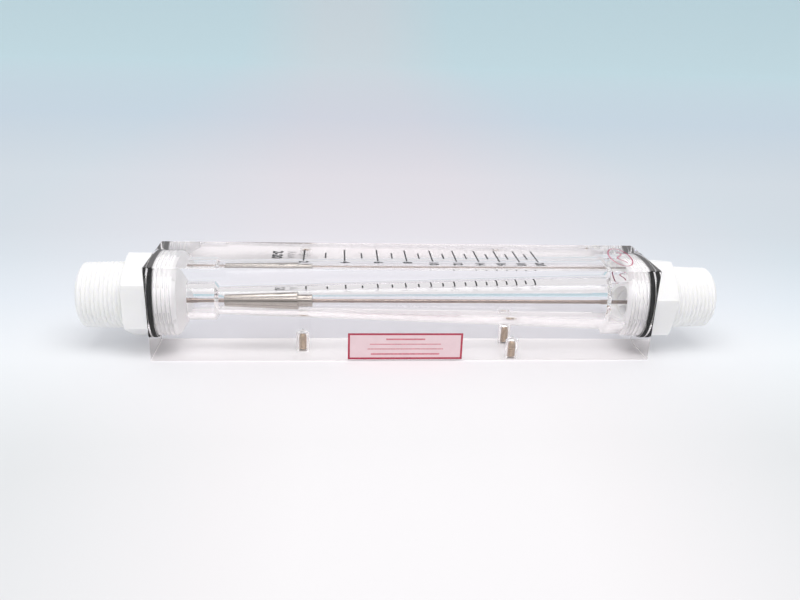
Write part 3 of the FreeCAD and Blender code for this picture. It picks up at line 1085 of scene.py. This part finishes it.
def insert_mesh(node):
    low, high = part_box(node)
    crest = (high.x - low.x) / 2 - INSERT_FIT
    thread_start = low.z + INSERT_FIT
    shoulder = high.z - INSERT_NOSE
    rows = [row(low.z + INSERT_BORE_DEPTH, 0), row(low.z + INSERT_BORE_DEPTH, INSERT_BORE)]
    rows += [row(low.z + INSERT_LEAD_IN, INSERT_BORE), row(low.z, INSERT_BORE + INSERT_LEAD_IN)]
    rows += [row(low.z, crest - INSERT_ROOT), row(thread_start, crest - INSERT_ROOT)]
    rows += thread_rows(thread_start, shoulder, low.z, crest, 0, INSERT_PITCH, INSERT_ROOT)
    nose_radius = crest - INSERT_ROOT / 2
    for step in range(NOSE_STEPS):
        angle = math.pi / 2 * step / NOSE_STEPS
        rows.append(row(shoulder + INSERT_NOSE * math.sin(angle), nose_radius * math.cos(angle)))
    rows.append(row(shoulder + INSERT_NOSE, 0))
    return stood_up(turned_mesh(node + "_turned", rows, BRASS, INSERT_SEGMENTS, axis_height=0,
                                run_out=INSERT_RUN_OUT), node)


for insert_node in INSERT_NODES:
    put(insert_node + "_turned", insert_mesh(insert_node), "meter", insert_node, slot="insert_brass")

# %% [markdown]
# ## Floor and light
# A pale table sweeps up behind the block. The light is one large soft box above and a pale surround.

# %% Floor, in metres
FLOOR_GAP = 0.3 * MM
FLOOR_FRONT, FLOOR_BACK = -1.8, 1.9
FLOOR_HALF_WIDTH = 3.5
SWEEP_RADIUS = 0.5
SWEEP_STEPS = 24
PAPER_DEPTH = (-0.1, 1.9)
PAPER = [(0.0, (0.82, 0.815, 0.82, 1)), (0.045, (0.895, 0.88, 0.895, 1)), (0.083, (0.84, 0.84, 0.88, 1)),
         (0.125, (0.80, 0.80, 0.84, 1)), (0.16, (0.80, 0.79, 0.83, 1)), (0.26, (0.845, 0.835, 0.88, 1)),
         (0.48, (0.79, 0.835, 0.915, 1)), (1.0, (0.80, 0.905, 0.95, 1))]
COOL_SIDES = (0.08, 0.32)
COOL_TINT = (0.91, 1.02, 1.03, 1)
# Painted shade: the front corners of the floor are darkened by a grey tint in the colour.
CORNER_SIDES, CORNER_FRONT = (0.05, 0.16), (-0.02, -0.12)
CORNER_SHADE_TINT = (0.90, 0.90, 0.90, 1)
SHADE_SIDES, SHADE_BACK, SHADE_START = (0.15, 0.115), (0.11, 0.045), (0.0, 0.02)
SHADE_TINT = (0.79, 0.79, 0.80, 1)


def floor_mesh():
    """A sheet that lies flat and then sweeps up behind, as one smooth strip."""
    profile = [(FLOOR_FRONT, 0.0), (FLOOR_BACK, 0.0)]
    for step in range(1, SWEEP_STEPS + 1):
        angle = math.pi / 2 * step / SWEEP_STEPS
        profile.append((FLOOR_BACK + SWEEP_RADIUS * math.sin(angle), SWEEP_RADIUS * (1 - math.cos(angle))))
    points = [(side * FLOOR_HALF_WIDTH, y, z - FLOOR_GAP) for side in (-1, 1) for y, z in profile]
    count = len(profile)
    faces = [(i, i + count, i + count + 1, i + 1) for i in range(count - 1)]
    mesh = bpy.data.meshes.new("floor")
    mesh.from_pydata(points, [], faces)
    for face in mesh.polygons:
        face.use_smooth = True
    return mesh


def fade(net, value, start, end):
    """0 at the start and beyond it, 1 at the end and beyond it, and straight between them."""
    return net.add("ShaderNodeMapRange", sockets={0: value, 1: start, 2: end, 3: 0.0, 4: 1.0})


def tinted(net, share, colour, tint):
    """A colour multiplied by a tint, by a share."""
    return net.add("ShaderNodeMixRGB", {"blend_type": "MULTIPLY"}, {0: share, 1: colour, 2: tint})


def floor_material():
    """Pale paper, the same to the camera, to glass and to metal, and cooler to the sides and the back. The
    front corners carry painted shade, a grey tint that darkens them. Just behind the block its shade is
    painted into the colour, because the clear film lets lamps past and would lose it."""
    material, net, shader = new_material("floor")
    place = split(net, object_place(net))
    deep = place.out("Y")
    aside = net.maths("ABSOLUTE", place.out("X"))
    paper = net.add("ShaderNodeValToRGB", {"stops": PAPER}, {"Fac": fade(net, deep, *PAPER_DEPTH)})
    cooled = tinted(net, fade(net, aside, *COOL_SIDES), paper, COOL_TINT)
    # Painted shade: a grey tint darkens the floor's front corners.
    in_corner_shade = fade(net, aside, *CORNER_SIDES) * fade(net, deep, *CORNER_FRONT)
    corners = tinted(net, in_corner_shade, cooled, CORNER_SHADE_TINT)
    in_shade = fade(net, aside, *SHADE_SIDES) * fade(net, deep, *SHADE_BACK) * fade(net, deep, *SHADE_START)
    net.plug(shader.inputs["Base Color"], tinted(net, in_shade, corners, SHADE_TINT))
    shader.inputs["Roughness"].default_value = 0.8
    shader.inputs["Specular IOR Level"].default_value = 0.0
    return material


floor = bpy.data.objects.new("floor", floor_mesh())
floor.data.materials.append(floor_material())
bpy.context.scene.collection.objects.link(floor)

print("floor: %.1f x %.1f m" % (2 * FLOOR_HALF_WIDTH, FLOOR_BACK - FLOOR_FRONT))

# %% Lamp and surround
TOP_BOX_PLACE = (0, -0.18, 0.5)
TOP_BOX_SIZE = (0.45, 0.3)
TOP_BOX_POWER = 1.25
ROOM = (0.80, 0.785, 0.80, 1)
DIM_PATCH = [(0.48, (0.61, 0.60, 0.59, 1)), (0.54, (0.11, 0.10, 0.095, 1)), (0.62, (0.14, 0.13, 0.125, 1)),
             (0.70, (0.44, 0.43, 0.42, 1)), (0.78, (0.80, 0.79, 0.80, 1))]
PATCH_FRONT = (-0.80, -0.93)


def soft_box(name, place, size, power):
    """A rectangular lamp that faces the origin."""
    data = bpy.data.lights.new(name, "AREA")
    data.shape = "RECTANGLE"
    data.size, data.size_y = size
    data.energy = power
    lamp = bpy.data.objects.new(name, data)
    lamp.location = place
    lamp.rotation_mode = "QUATERNION"
    lamp.rotation_quaternion = (-Vector(place)).to_track_quat("-Z", "Y")
    bpy.context.scene.collection.objects.link(lamp)


def surround():
    """A bright room all round, with one dim patch low in front, where the camera stands."""
    world = bpy.data.worlds.new("surround")
    bpy.context.scene.world = world
    world.use_nodes = True
    net = Net(world.node_tree)
    background = world.node_tree.nodes["Background"]
    parts = split(net, net.add("ShaderNodeTexCoord").out("Generated"))
    height = parts.out("Z") * 0.5 + 0.5
    patch = net.add("ShaderNodeValToRGB", {"stops": DIM_PATCH}, {"Fac": height})
    front = fade(net, parts.out("Y"), *PATCH_FRONT)
    whole = net.add("ShaderNodeMixRGB", sockets={0: front, 1: ROOM, 2: patch})
    net.plug(background.inputs["Color"], whole)
    background.inputs["Strength"].default_value = 1.0


soft_box("top_box", TOP_BOX_PLACE, TOP_BOX_SIZE, TOP_BOX_POWER)
surround()
scene = bpy.context.scene
scene.view_settings.view_transform = "Standard"
scene.cycles.max_bounces = 28
scene.cycles.diffuse_bounces = 8
scene.cycles.transmission_bounces = 20
scene.cycles.glossy_bounces = 12
scene.cycles.transparent_max_bounces = 24
scene.cycles.use_denoising = True
print("lit")

# %% Finish
bpy.context.view_layer.update()
